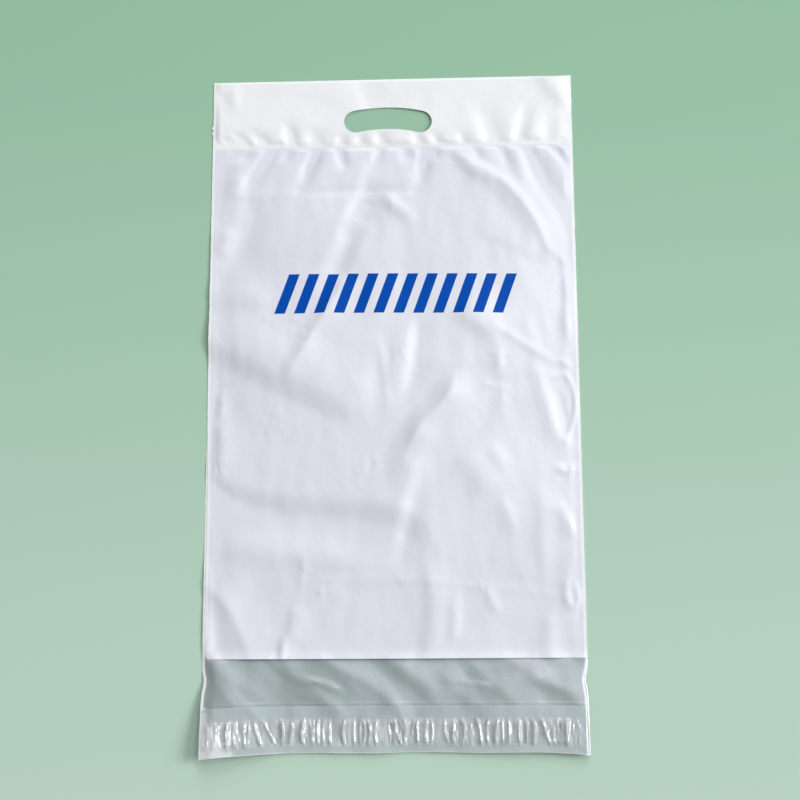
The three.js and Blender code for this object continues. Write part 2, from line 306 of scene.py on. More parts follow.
POUCH_FOLDS = (
    Fold("upper_crease", ((-91, 206), (-45, 207), (19, 207)), -0.9, 4.5, 4, Crest.SOFT, 0.6),
    Fold("upper_crease_tail", ((-151, 202), (-119, 203), (-89, 204)), 0.5, 3, 3, Crest.TIGHT, 0.3),
    Fold("lower_crease", ((-40, 195), (-15, 191)), -0.5, 3, 3, Crest.TIGHT),
    Fold("upper_left_slope", ((-19, 224), (-29, 198), (-40, 172)), -2.1, 38, 14, Crest.STEP, 0.5),
    Fold(
        "upper_left_valley", ((-35, 176), (-43, 154), (-52, 132), (-61, 112)),
        -2.2, 16, 17, Crest.STEP, 0.3,
    ),
    Fold(
        "print_left_ridge", ((-50, 110), (-59, 94), (-71, 75), (-83, 54), (-95, 33)),
        2.9, 22, 13, Crest.EDGE, 0.7,
    ),
    Fold("upper_wedge", ((58, 256), (68, 239), (79, 227), (92, 221)), 1.7, 12, 11, Crest.STEP, 0.6),
    Fold(
        "upper_right_ridge", ((86, 228), (104, 218), (120, 202), (133, 184), (143, 166), (149, 146)),
        3.1, 11, 19, Crest.EDGE, 0.4,
    ),
    Fold(
        "upper_right_valley", ((131, 252), (138, 230), (149, 205), (160, 184), (169, 168)),
        -1.9, 24, 11, Crest.STEP, 0.5,
    ),
    Fold("right_crease", ((145, 153), (155, 146), (166, 133)), 1.0, 2.6, 2.6, Crest.TIGHT, 0.3),
    Fold("right_ripple", ((75, 171), (107, 157), (141, 141)), 0.8, 16, 6),
    Fold("thumb_ridge", ((-13, 205), (-1, 194), (11, 184), (22, 176)), 1.7, 6, 7),
    Fold("left_streak", ((-127, 210), (-140, 178), (-146, 148), (-156, 115)), -2.5, 17, 13),
    Fold("left_glint", ((-158, 174), (-161, 154), (-165, 138)), 1.5, 9, 9),
    Fold("left_hollow", ((-148, 226), (-150, 198)), 1.2, 8, 10),
    Fold("left_ledge", ((-176, 105), (-144, 101), (-111, 97)), 1.8, 12, 12, Crest.SOFT, 0.15, 0.9),
    Fold("print_right_ridge", ((57, 89), (79, 77), (100, 58)), 2.2, 17, 9),
    Fold("print_right_crease", ((96, 72), (121, 56), (150, 38)), 1.0, 3, 3, Crest.TIGHT, 0.5),
    Fold("right_facet", ((95, 59), (100, 16)), 0.8, 30, 10),
    Fold("short_crease", ((100, 49), (99, 27)), 0.8, 2.4, 2.4, Crest.TIGHT),
    Fold("tiny_crease", ((83, 16), (98, 12)), 0.8, 2.4, 2.4, Crest.TIGHT),
    Fold("gloss_ridge", ((17, 83), (12, 57), (7, 27), (1, 6)), 1.4, 7, 13),
    Fold("gloss_valley", ((27, 83), (22, 52), (18, 25), (11, 2)), -1.4, 13, 7),
    Fold("middle_wave", ((-18, 69), (-21, 21)), 0.5, 8, 15),
    Fold("middle_crease", ((-15, 62), (-11, 38), (-8, 14), (-7, -4)), 0.7, 6, 3, Crest.TIGHT, 0.4),
    Fold(
        "left_shelf", ((-176, 64), (-151, 52), (-130, 41), (-107, 29), (-81, 17), (-59, 7), (-47, 1)),
        3.6, 48, 25, Crest.STEP, 0.9,
    ),
    Fold(
        "comma_head", ((58, 34), (56, 18), (50, 2), (41, -8), (29, -18), (20, -31), (14, -44), (10, -56)),
        4.8, 44, 17, Crest.EDGE, 0.3, 0.05,
    ),
    Fold(
        "comma_body", ((28, -38), (18, -58), (11, -78), (5, -98), (1, -112), (-1, -124)),
        2.4, 10, 24, Crest.SOFT, 0.5,
    ),
    Fold("comma_tail", ((24, -82), (16, -103), (11, -125), (9, -145)), -1.1, 9, 7),
    Fold(
        "lower_shelf", ((-176, -94), (-150, -101), (-110, -109), (-60, -113), (-22, -116), (4, -123)),
        -4.4, 25, 42, Crest.STEP, 0.75,
    ),
    Fold("lower_swell", ((-163, -135), (-89, -142), (-8, -151)), 1.3, 12, 12),
    Fold("left_edge_bead", ((-163, 12), (-160, -2), (-165, -16)), 1.3, 5, 5),
    Fold("left_edge_dent", ((-163, -14), (-161, -36), (-162, -66)), 1.9, 9, 8, Crest.SOFT, 0.4),
    Fold("right_dent", ((60, -44), (72, -60), (85, -78), (93, -94)), 2.1, 18, 14),
    Fold("right_rib", ((95, -89), (105, -105), (111, -127)), 1.1, 6, 8),
    Fold("right_soft_ridge", ((89, -40), (97, -54), (105, -68)), 1.0, 7, 7),
    Fold("right_wave", ((135, -74), (138, -111), (136, -151), (133, -173)), 1.3, 9, 9),
    Fold(
        "edge_hook", ((138, 24), (143, 4), (147, -16), (154, -36), (160, -38)),
        1.7, 4.5, 9, Crest.SOFT, 0.5,
    ),
    Fold("edge_hook_dent", ((154, 12), (157, -6), (162, -22)), -0.8, 4, 4),
    Fold(
        "edge_hook_back", ((160, -38), (168, -22), (171, -4), (169, 14), (162, 27), (151, 22)),
        1.0, 2.6, 2.6, Crest.SOFT, 0.6,
    ),
    Fold("edge_nick", ((149, -62), (160, -68), (171, -62)), 1.3, 3, 3),
    Fold("edge_rib", ((149, -92), (158, -109), (167, -130)), 1.6, 5, 9),
    Fold("edge_spike", ((156, 39), (171, 31)), 1.0, 2.6, 2.6, Crest.TIGHT, 0.4),
    Fold("right_rim_wave", ((164, 134), (167, 102), (164, 72), (168, 48)), 1.2, 5, 5, Crest.SOFT, 0.4),
    Fold("sharp_crease", ((-84, -142), (-83, -164)), 0.9, 5, 3, Crest.TIGHT),
    Fold("mouth_spindle", ((-90, -186), (-92, -206), (-97, -226)), 1.5, 11, 5.5),
    Fold("mouth_pleat", ((-101, -221), (-103, -241)), 2.0, 4.5, 3.5, Crest.SOFT, 0.7),
    Fold(
        "left_corner_ridge", ((-173, -172), (-154, -188), (-142, -208), (-131, -240)),
        3.0, 34, 26, Crest.EDGE, 0.6,
    ),
    Fold("mouth_left_rim", ((-175, -196), (-172, -240)), 1.8, 8, 3, Crest.SOFT, 0.6),
    Fold("mouth_ridge", ((33, -164), (38, -185), (35, -206), (29, -240)), 2.1, 13, 10, Crest.SOFT, 0.6),
    Fold("cup_left", ((54, -182), (56, -204), (52, -227)), 1.3, 5, 6),
    Fold("cup_right", ((83, -175), (89, -187), (96, -199)), 1.1, 5, 5),
    Fold(
        "broken_crease",
        ((-72, -165), (-30, -167), (8, -166), (40, -169), (82, -173), (127, -178), (160, -184)),
        0.55, 2.8, 2.8, Crest.TIGHT, 0.5,
    ),
    Fold("small_wrinkle", ((-68, -169), (-66, -183)), 0.6, 2.6, 3.2),
    Fold("edge_valley", ((166, -126), (161, -149), (158, -173), (160, -193)), 0.9, 9, 8),
    Fold(
        "edge_bead", ((158, -171), (156, -185), (164, -194), (169, -185), (166, -171)),
        1.1, 3, 3, Crest.SOFT, 0.6,
    ),
    Fold("mouth_right_rib", ((141, -208), (140, -240)), 1.4, 7, 8, Crest.SOFT, 0.9),
)

POUCH_CRUMPLES = (
    Crumple((-27, -63), 14, 0.5), Crumple((48, -3), 7, 0.5), Crumple((-65, -7), 8, 0.4),
    Crumple((6, -168), 10, 0.5, 6.0), Crumple((32, -169), 8, 0.3, 6.0),
    Crumple((-64, -174), 8, 0.7, 6.0), Crumple((14, 44), 15, 0.6, 7.0),
    Crumple((58, -186), 9, 0.6, 6.0), Crumple((108, 6), 13, 0.5), Crumple((-112, -20), 16, 0.4),
    Crumple((-84, -168), 7, 0.7, 5.0), Crumple((83, -173), 10, 0.8, 6.0), Crumple((97, 42), 10, 0.5),
    Crumple((-87, 69), 9, 0.8, 6.0), Crumple((-119, 75), 8, 0.6, 7.0), Crumple((0, 192), 8, 0.5, 6.0),
    Crumple((161, -66), 8, 0.7, 6.0), Crumple((-162, 4), 8, 0.5), Crumple((-163, -62), 8, 0.8, 6.0),
    Crumple((117, -161), 10, 0.6),
)

FLAP_FOLDS = (
    Fold(
        "flap_left_ridge", ((-166, -240), (-150, -258), (-136, -274), (-122, -292)),
        3.0, 26, 20, Crest.EDGE, 0.6,
    ),
    Fold(
        "flap_middle_ridge", ((-112, -238), (-92, -252), (-70, -266), (-50, -284)),
        3.0, 22, 18, Crest.EDGE, 0.6,
    ),
    Fold(
        "flap_long_crease", ((-84, -256), (-70, -258), (-58, -262), (-47, -269)),
        2.8, 5, 6, Crest.EDGE, 0.3,
    ),
    Fold(
        "flap_upper_ridge", ((-66, -238), (-42, -250), (-20, -262), (-4, -276)),
        3.0, 20, 14, Crest.EDGE, 0.6,
    ),
    Fold(
        "flap_centre_ridge", ((-6, -238), (10, -248), (26, -260), (38, -276)),
        3.0, 24, 16, Crest.EDGE, 0.5,
    ),
    Fold(
        "flap_low_ridge", ((-12, -260), (-2, -272), (6, -288), (8, -300)),
        1.8, 9, 7, Crest.TIGHT, 0.5,
    ),
    Fold("flap_star", ((50, -257), (68, -260), (90, -265)), 1.5, 5, 5, Crest.EDGE),
    Fold("flap_star_stem", ((46, -248), (46, -262)), 1.1, 2.6, 2.6, Crest.TIGHT),
    Fold("flap_star_arm", ((48, -256), (62, -248)), 1.0, 2.6, 2.6, Crest.TIGHT),
    Fold(
        "flap_right_swell", ((112, -254), (146, -264), (176, -273)),
        2.2, 13, 6, Crest.TIGHT, 0.15, 0.5,
    ),
    Fold("flap_right_slope", ((94, -250), (97, -270), (100, -300)), 4.0, 74, 50, Crest.STEP, 0.9, 0.1),
    Fold("flap_right_upper", ((98, -245), (150, -249)), 1.2, 7, 9),
)

FLAP_CRUMPLES = (
    Crumple((-42, -251), 6, 1.2, 5.0), Crumple((-80, -271), 5, 1.1, 5.0), Crumple((48, -256), 8, 0.9, 6.0),
)


@dataclass(frozen=True)
class BagShape:
    """Sizes of the bag on the flat film, in millimetres, and the surfaces that follow from them."""

    half_width: float
    handle_end: float
    flap_end: float
    seal: float = SEAL
    mouth: float = -237.5
    side_weld: float = 1.2
    film: float = 0.25
    pouch_rise: float = 8.0
    mouth_rise: float = 2.5
    liner_edge: float = -280.2
    adhesive_low: float = -316.5
    adhesive_high: float = -292.0
    left_curl: float = 11.0
    right_curl: float = 3.4
    fold_margin: float = 9.0
    pouch_bulge: float = 2.3
    seal_ramp: float = 120.0
    mouth_ramp: float = 140.0
    band_roll: float = 1.7
    pouch_roll: float = 1.2
    handle_skew: float = 3.2
    torn_tabs: Point = (269.0, 275.0)
    tab_length: float = 1.9
    neck_at: float = -257.0
    neck_depth: float = 2.0
    seal_depth: float = 0.25
    ply_gap: float = 0.1

    @classmethod
    def from_frame(cls) -> "BagShape":
        """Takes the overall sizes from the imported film."""
        low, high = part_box("bag_film")
        return cls(half_width=high[0] / MM, handle_end=high[1] / MM, flap_end=low[1] / MM)

    @property
    def weld_line(self) -> float:
        """Distance from the bag's middle to its side welds."""
        return self.half_width - self.side_weld

    def folds(self, x: np.ndarray, y: np.ndarray) -> np.ndarray:
        """Height that the pouch's folds and broad swells add, before they meet the welds."""
        folds = sum(fold.lift(x, y) for fold in POUCH_FOLDS + POUCH_CRUMPLES)
        broad = 1.0 * film_noise(x, y, 92.0, 2, 7.0) + 0.45 * film_noise(x, y * 0.5, 24.0, 2, 11.0)
        patches = smooth(film_noise(x, y, 60.0, 1, 43.0), -0.15, 0.45)
        wrinkles = 0.4 * film_noise(x, y * 0.35, 12.0, 1, 31.0) * patches
        return (folds + broad + wrinkles) * smooth(self.seal - y, 0.0, 14.0)

    def free_share(self, x: np.ndarray, y: np.ndarray) -> np.ndarray:
        """How far the plies part: 0 on the side welds and 1 a fold's margin inside them."""
        wander = 2.6 + 3.4 * film_noise(np.sign(x) * 90.0, y, 26.0, 3, 23.0)
        return smooth(self.weld_line - np.abs(x) - np.maximum(wander, 0.0), 0.0, self.fold_margin)

    def back(self, x: np.ndarray, y: np.ndarray) -> np.ndarray:
        """Height of the back ply's upper side, which the folds lift along the side welds."""
        band = self.band_relief(x, y) * (y > self.seal)
        lifted = np.maximum(self.folds(x, y), 0.0) * (1.0 - self.free_share(x, y))
        beside_pouch = smooth(y, self.mouth - 12.0, self.mouth + 6.0) * (y < self.seal)
        return self.film + band + self.flap_relief(x, y) + lifted * beside_pouch

    def band_relief(self, x: np.ndarray, y: np.ndarray) -> np.ndarray:
        """Height of the puckers and waves of the double band."""
        waves = sum(fold.lift(x, y) for fold in BAND_FOLDS) + 0.4 * film_noise(x, y, 40.0, 2, 1.0)
        waves = waves * smooth(y, self.seal + 2.0, self.seal + 12.0)
        above = y - self.seal
        roll = self.band_roll * smooth(above, 0.0, 7.0) * (1.0 - 0.5 * smooth(above, 14.0, 50.0))
        roll = roll * smooth(self.half_width - np.abs(x), 0.0, np.where(x < 0.0, 7.0, 16.0))
        edge = smooth(self.half_width - np.abs(x), 0.0, 6.0) * smooth(self.handle_end - y, 0.0, 2.8)
        stand = waves + roll - PUCKERS_ABOVE.dent(x, y)
        return edge * soft_floor(stand, 0.1)

    def flap_relief(self, x: np.ndarray, y: np.ndarray) -> np.ndarray:
        """Height of the flap's curled corners, waves and creases."""
        outwards = smooth(self.mouth - y, 0.0, self.mouth - self.flap_end)
        corner = smooth(np.abs(x), self.half_width - 80.0, self.half_width)
        curl = np.where(x < 0.0, self.left_curl, self.right_curl) * corner * outwards
        free = smooth(self.mouth - y, -9.0, 3.0)
        beside = smooth(self.half_width - np.abs(x), 0.0, np.where(x < 0.0, 13.0, 3.5))
        folds = sum(fold.lift(x, y) for fold in FLAP_FOLDS + FLAP_CRUMPLES)
        waves = 1.5 + 1.8 * film_noise(x, y * 0.6, 46.0, 3, 3.0)
        ledge = 0.4 * np.exp(-(((y - self.liner_edge - 2.2) / 1.3) ** 2))
        return curl + np.maximum(free * beside * (folds + waves + 0.4 + ledge), 0.0)

    def front(self, x: np.ndarray, y: np.ndarray) -> np.ndarray:
        """Height of the front ply's upper side."""
        welded = self.back(x, y) + self.film + self.ply_gap
        across = 1.0 - np.clip(np.abs(x) / self.weld_line, 0.0, 1.0) ** self.pouch_bulge
        along = smooth(self.seal - y, 0.0, self.seal_ramp)
        opening = smooth(y, self.mouth, self.mouth + self.mouth_ramp)
        rise = self.mouth_rise + (self.pouch_rise - self.mouth_rise) * opening
        free = self.free_share(x, y)
        swell = rise * across * along * (0.45 + 0.55 * free)
        roll = self.pouch_roll * smooth(self.seal - y, 0.0, 5.0) * (1.0 - smooth(self.seal - y, 20.0, 90.0))
        spread = smooth(self.weld_line - np.abs(x), 0.0, np.where(x < 0.0, 26.0, 9.0)) * (y < self.seal)
        least = 0.2 * swell * spread
        above = spread * (swell + roll - PUCKERS_BELOW.dent(x, y)) + free * self.folds(x, y) - least
        inside = smooth(self.weld_line - np.abs(x), 0.0, 3.0) * (y < self.seal)
        return welded + least + soft_floor(above, 0.05) * inside - self.grooves(x, y)

    def grooves(self, x: np.ndarray, y: np.ndarray) -> np.ndarray:
        """Depth of the bar that pressed the cross seal, and of the turn at the handle end."""
        pressed = self.seal_depth * np.exp(-(((y - self.seal) / 1.1) ** 2))
        turn = self.film * (1.0 - smooth(self.handle_end - y, 0.0, 1.6))
        return pressed + turn

    def drift(self, x: np.ndarray, y: np.ndarray) -> tuple[np.ndarray, np.ndarray]:
        """Moves the cut edges in the plane, as the real ones are not quite straight.

        Args:
            x: Places across the bag.
            y: Places along the bag.

        Returns:
            The places after the move.
        """
        side = x / self.half_width
        near_edge = smooth(np.abs(side), 0.96, 1.0)
        skew = self.handle_skew * side * smooth(y, 150.0, self.handle_end)
        corner = np.where(side < 0.0, 5.5, 2.6) * np.abs(side) ** 5 - 2.0
        droop = smooth(-y, -self.mouth, -self.flap_end) * corner
        ripple = 0.35 * np.sin(x / 17.0) * smooth(-y, 300.0, -self.flap_end)
        neck = self.neck_depth * np.exp(-(((y - self.neck_at) / 8.0) ** 2)) * smooth(np.abs(side), 0.8, 1.0)
        ragged = 0.3 * film_noise(np.sign(x) * 40.0, y, 7.0, 2, 5.0) * near_edge
        tabs = sum(self.tab_length * np.exp(-((y - spot) ** 2)) for spot in self.torn_tabs) * (side < 0.0)
        outwards = ragged + tabs * smooth(np.abs(side), 0.99, 1.0) - neck
        return x + np.sign(x) * outwards, y + skew - droop + ripple


# Mesh makers


def placed(name: str, data: bpy.types.ID) -> bpy.types.Object:
    """Puts a new object with the given data into the scene."""
    thing = bpy.data.objects.new(name, data)
    bpy.context.scene.collection.objects.link(thing)
    return thing


def mesh_of(name: str, work: bmesh.types.BMesh) -> bpy.types.Mesh:
    """Turns worked geometry into a mesh of its own and frees it."""
    mesh = bpy.data.meshes.new(name)
    work.to_mesh(mesh)
    work.free()
    return mesh


def film_sheet(name: str, columns: np.ndarray, rows: np.ndarray, place: Place) -> bpy.types.Object:
    """Makes a grid over the flat film and lays it where the bag has it.

    Args:
        name: The name of the new object.
        columns: Places of the grid's columns, in millimetres.
        rows: Places of its rows, in millimetres.
        place: Gives the laid place of flat points, in millimetres.

    Returns:
        The object, with the flat places in metres in its UV map "flat".
    """
    grid = bmesh.new()
    bmesh.ops.create_grid(grid, x_segments=len(columns) - 1, y_segments=len(rows) - 1, size=0.5)
    mesh = mesh_of(name, grid)
    flat = np.empty(len(mesh.vertices) * 3)
    mesh.vertices.foreach_get("co", flat)
    flat = flat.reshape(-1, 3)
    x = np.interp(flat[:, 0] + 0.5, np.linspace(0.0, 1.0, len(columns)), columns)
    y = np.interp(flat[:, 1] + 0.5, np.linspace(0.0, 1.0, len(rows)), rows)
    corner = np.empty(len(mesh.loops), dtype=np.int32)
    mesh.loops.foreach_get("vertex_index", corner)
    uv_map = mesh.uv_layers.new(name="flat")
    uv_map.data.foreach_set("uv", np.stack((x, y), axis=1)[corner].ravel() * MM)
    mesh.vertices.foreach_set("co", np.stack(place(x, y), axis=1).ravel() * MM)
    mesh.update()
    return placed(name, mesh)


def settle(piece: bpy.types.Object, smooth_angle: float = 50.0) -> None:
    """Writes a piece's modifiers into its mesh and smooths its shading.

    Args:
        piece: The piece to settle.
        smooth_angle: Edges sharper than this, in degrees, stay sharp.
    """
    view = bpy.context.evaluated_depsgraph_get()
    settled = bpy.data.meshes.new_from_object(piece.evaluated_get(view))
    piece.modifiers.clear()
    piece.data = settled
    settled.name = piece.name
    settled.shade_smooth()
    settled.set_sharp_from_angle(angle=math.radians(smooth_angle))


def thicken(piece: bpy.types.Object, thickness: float, inner_slot: int) -> None:
    """Gives a sheet its thickness, downwards.

    Args:
        piece: The sheet.
        thickness: In millimetres.
        inner_slot: How many material slots on the new side lies.
    """
    wall = piece.modifiers.new("wall", "SOLIDIFY")
    wall.thickness = thickness * MM
    wall.offset = -1.0
    wall.material_offset = inner_slot


def joined(name: str, parts: list[bpy.types.Object]) -> bpy.types.Object:
    """Joins settled parts, which share their material slots, into one piece.

    Args:
        name: The name of the piece.
        parts: The parts, which are removed.

    Returns:
        The joined piece.
    """
    whole = bmesh.new()
    for part in parts:
        whole.from_mesh(part.data)
    many_sided = [face for face in whole.faces if len(face.verts) > 4]
    bmesh.ops.triangulate(whole, faces=many_sided, ngon_method="BEAUTY")
    mesh = mesh_of(name, whole)
    for material in parts[0].data.materials:
        mesh.materials.append(material)
    for part in parts:
        bpy.data.objects.remove(part)
    return placed(name, mesh)


def spaced(*stretches: tuple[float, float, float]) -> np.ndarray:
    """Lists grid lines over neighbouring stretches.

    Args:
        stretches: The start, the end and the greatest spacing of each.

    Returns:
        The places of the lines, in rising order.
    """
    lines = [np.linspace(a, b, math.ceil((b - a) / step), endpoint=False) for a, b, step in stretches]
    return np.append(np.concatenate(lines), stretches[-1][1])


# Shader groups


class NodeSheet:
    """A small helper that lays nodes in a material or a node group."""

    def __init__(self, tree: bpy.types.NodeTree) -> None:
        """Keeps the tree."""
        self.tree = tree

    def add(self, kind: str, settings: dict[str, object] | None = None, **inputs: object) -> bpy.types.Node:
        """Adds a node.

        Args:
            kind: The node's type.
            settings: Its properties.
            inputs: A value or an output for each input, by the input's name with _ for a space.

        Returns:
            The node.
        """
        node = self.tree.nodes.new(kind)
        for key, value in (settings or {}).items():
            setattr(node, key, value)
        for key, value in inputs.items():
            self.feed(node, key.replace("_", " "), value)
        return node

    def feed(self, node: bpy.types.Node, socket: str | int, value: object) -> None:
        """Links an output into a socket, or sets the socket's value."""
        target = node.inputs[socket]
        if isinstance(value, bpy.types.NodeSocket):
            self.tree.links.new(value, target)
        else:
            target.default_value = value

    def sum_up(self, operation: str, *values: object) -> bpy.types.NodeSocket:
        """Adds a Math node with the given operation and returns its output."""
        node = self.add("ShaderNodeMath", {"operation": operation})
        for index, value in enumerate(values):
            self.feed(node, index, value)
        return node.outputs[0]

    def step(self, value: object, low: float, high: float) -> bpy.types.NodeSocket:
        """Eases a value from 0 to 1 between two limits."""
        node = self.add("ShaderNodeMapRange", {"interpolation_type": "SMOOTHSTEP"})
        self.feed(node, "Value", value)
        node.inputs["From Min"].default_value = low
        node.inputs["From Max"].default_value = high
        return node.outputs["Result"]

    def swells(self, place: object, scale: float, detail: float = 2.0) -> bpy.types.NodeSocket:
        """Adds smooth noise over a plane and returns its level, 0 to 1."""
        node = self.add("ShaderNodeTexNoise", {"noise_dimensions": "2D"}, Vector=place)
        node.inputs["Scale"].default_value = scale
        node.inputs["Detail"].default_value = detail
        return node.outputs["Fac"]

    def object_place(self) -> bpy.types.NodeSocket:
        """Adds the place on the piece, in metres."""
        return self.add("ShaderNodeTexCoord").outputs["Object"]

    def flat_place(self) -> tuple[bpy.types.NodeSocket, bpy.types.NodeSocket]:
        """Adds the place on the flat film, and returns how far across and up it lies in metres."""
        flat = self.add("ShaderNodeUVMap", {"uv_map": "flat"}).outputs[0]
        split = self.add("ShaderNodeSeparateXYZ", Vector=flat)
        return split.outputs["X"], split.outputs["Y"]


def new_group(name: str, inputs: dict[str, float], outputs: dict[str, str]) -> bpy.types.NodeTree:
    """Starts a shader group with float inputs and typed outputs.

    Args:
        name: The group's name.
        inputs: The inputs' names and default values.
        outputs: The outputs' names and socket types.

    Returns:
        The group, with its input and output nodes.
    """
    group = bpy.data.node_groups.new(name, "ShaderNodeTree")
    for label, value in inputs.items():
        socket = group.interface.new_socket(label, in_out="INPUT", socket_type="NodeSocketFloat")
        socket.default_value = value
    for label, kind in outputs.items():
        group.interface.new_socket(label, in_out="OUTPUT", socket_type=kind)
    group.nodes.new("NodeGroupInput")
    group.nodes.new("NodeGroupOutput")
    return group


def film_grain_group() -> bpy.types.NodeTree:
    """Builds the surface of blown film: fine crinkle, faint draw lines and uneven gloss.

    Returns:
        A group with the inputs Crinkle, Draw Lines and Bump Depth, and the outputs Tone, Gloss
        and Normal.
    """
    group = new_group(
        "film grain",
        {"Crinkle": 1.0, "Draw Lines": 1.0, "Bump Depth": 0.0004},
        {"Tone": "NodeSocketFloat", "Gloss": "NodeSocketFloat", "Normal": "NodeSocketVector"},
    )
    sheet = NodeSheet(group)
    given = group.nodes["Group Input"].outputs
    place = sheet.object_place()
    fold = sheet.sum_up("ABSOLUTE", sheet.sum_up("SUBTRACT", sheet.swells(place, 55.0, 3.0), 0.5))
    pebble = sheet.swells(place, 420.0)
    stretch = sheet.add("ShaderNodeMapping", Vector=place, Scale=(260.0, 7.0, 1.0))
    lines = sheet.swells(stretch.outputs[0], 1.0)
    depth = sheet.sum_up("MULTIPLY", sheet.sum_up("MULTIPLY", fold, -3.0), given["Crinkle"])
    depth = sheet.sum_up("ADD", depth, sheet.sum_up("MULTIPLY", pebble, 0.12))
    drawn = sheet.sum_up("MULTIPLY", sheet.sum_up("MULTIPLY", lines, 0.12), given["Draw Lines"])
    depth = sheet.sum_up("ADD", depth, drawn)
    bump = sheet.add("ShaderNodeBump", Height=depth, Distance=given["Bump Depth"])
    out = group.nodes["Group Output"]
    sheet.feed(out, "Tone", sheet.sum_up("SUBTRACT", sheet.swells(place, 9.0, 4.0), 0.5))
    sheet.feed(out, "Gloss", sheet.sum_up("SUBTRACT", pebble, 0.5))
    sheet.feed(out, "Normal", bump.outputs["Normal"])
    return group


def weld_and_glare_mask_group() -> bpy.types.NodeTree:
    """Builds the mask of the places where the film is painted whiter: where it is doubled, a painted glare
    over the flap's curled corner, and a line along the flap's end.

    Returns:
        A group with the inputs Seal, Left, Right, Corner and End, in metres on the flat film, and one
        output, the mask of these places.
    """
    group = new_group(
        "weld and glare mask",
        {"Seal": 0.2525, "Left": 0.1725, "Right": 0.1725, "Corner": 1.0, "End": 1.0},
        {"Welded": "NodeSocketFloat"},
    )
    sheet = NodeSheet(group)
    given = group.nodes["Group Input"].outputs
    across, up = sheet.flat_place()
    band = sheet.sum_up("SUBTRACT", up, given["Seal"])
    left = sheet.sum_up("SUBTRACT", sheet.sum_up("MULTIPLY", across, -1.0), given["Left"])
    right = sheet.sum_up("SUBTRACT", across, given["Right"])
    downwards = sheet.sum_up("MULTIPLY", up, -0.53)
    slanted = sheet.sum_up("ADD", sheet.sum_up("MULTIPLY", across, -0.85), downwards)
    ragged = sheet.swells(sheet.object_place(), 140.0)
    slanted = sheet.sum_up("MULTIPLY_ADD", ragged, 0.012, slanted)
    # Corner: a painted glare, which whitens the flap's curled corner beyond a slanted, ragged line
    corner = sheet.step(sheet.sum_up("SUBTRACT", slanted, given["Corner"]), -0.003, 0.003)
    # End: whiter along the flap's end
    end = sheet.sum_up("SUBTRACT", sheet.sum_up("MULTIPLY", up, -1.0), given["End"])
    most = sheet.sum_up("MAXIMUM", sheet.sum_up("MAXIMUM", band, left), sheet.sum_up("MAXIMUM", right, end))
    welded = sheet.sum_up("MAXIMUM", sheet.step(most, -0.4 * MM, 0.4 * MM), corner)
    sheet.feed(group.nodes["Group Output"], "Welded", welded)
    return group


def bar_print_group() -> bpy.types.NodeTree:
    """Builds a plain strip of slanted bars, printed on the flat film.

    Returns:
        A group with the strip's place and sizes in metres as inputs, and the output Ink.
    """
    group = new_group(
        "bar print",
        {
            "Centre X": 0.0, "Centre Y": 0.1, "Half Length": 0.1, "Half Height": 0.02,
            "Pitch": 0.02, "Share": 0.5, "Slant": 0.35,
        },
        {"Ink": "NodeSocketFloat"},
    )
    sheet = NodeSheet(group)
    given = group.nodes["Group Input"].outputs
    flat_x, flat_y = sheet.flat_place()
    up = sheet.sum_up("SUBTRACT", flat_y, given["Centre Y"])
    across = sheet.sum_up("SUBTRACT", flat_x, given["Centre X"])
    across = sheet.sum_up("SUBTRACT", across, sheet.sum_up("MULTIPLY", up, given["Slant"]))
    shifted = sheet.sum_up("ADD", across, given["Half Length"])
    bar = sheet.sum_up("FRACT", sheet.sum_up("DIVIDE", shifted, given["Pitch"]))
    inside = sheet.sum_up("LESS_THAN", bar, given["Share"])
    along = sheet.sum_up("LESS_THAN", sheet.sum_up("ABSOLUTE", across), given["Half Length"])
    high = sheet.sum_up("LESS_THAN", sheet.sum_up("ABSOLUTE", up), given["Half Height"])
    ink = sheet.sum_up("MULTIPLY", inside, sheet.sum_up("MULTIPLY", along, high))
    sheet.feed(group.nodes["Group Output"], "Ink", ink)
    return group


def linear(red: int, green: int, blue: int, alpha: float = 1.0) -> Colour:
    """Turns a colour of a screen, 0 to 255, into the renderer's own."""
    channels = (value / 255.0 for value in (red, green, blue))
    return (*(c / 12.92 if c <= 0.04045 else ((c + 0.055) / 1.055) ** 2.4 for c in channels), alpha)


def blended(sheet: NodeSheet, share: object, first: object, second: object) -> bpy.types.NodeSocket:
    """Mixes two colours by a share and returns the colour."""
    node = sheet.add("ShaderNodeMix", {"data_type": "RGBA"})
    sheet.feed(node, 0, share)
    sheet.feed(node, 6, first)
    sheet.feed(node, 7, second)
    return node.outputs[2]


@dataclass(frozen=True)
class FilmGroups:
    """The shader groups that the films share: their surface, their welds with the painted corner glare, and
    the print.
    """

    grain: bpy.types.NodeTree
    welds: bpy.types.NodeTree
    # Mask of doubled film and of painted glare on the flap's curled corner
    bars: bpy.types.NodeTree


@dataclass(frozen=True)
class WeldAndGlareLines:
    """Where a film is painted whiter, in metres on the flat film: its doubled seal band and side welds, a
    painted glare at the flap's corner, and the flap's end. A line left at 1 lies off the bag.
    """

    seal: float = 1.0
    left: float = 1.0
    right: float = 1.0
    corner: float = 1.0
    end: float = 1.0


@dataclass(frozen=True)
class StreakOrSheenTone:
    """How streaks or painted sheens run over a film: their turn in radians, their size in metres and their
    drift across.
    """

    turn: float
    size: Point
    drift: float


# Painted sheens: slanted bands of painted reflection, and a drift that paints the film lighter towards its
# right
PAINTED_SHEENS = StreakOrSheenTone(turn=-0.72, size=(0.1, 0.024), drift=0.7)
STREAKS = StreakOrSheenTone(turn=0.0, size=(0.0043, 0.026), drift=0.0)


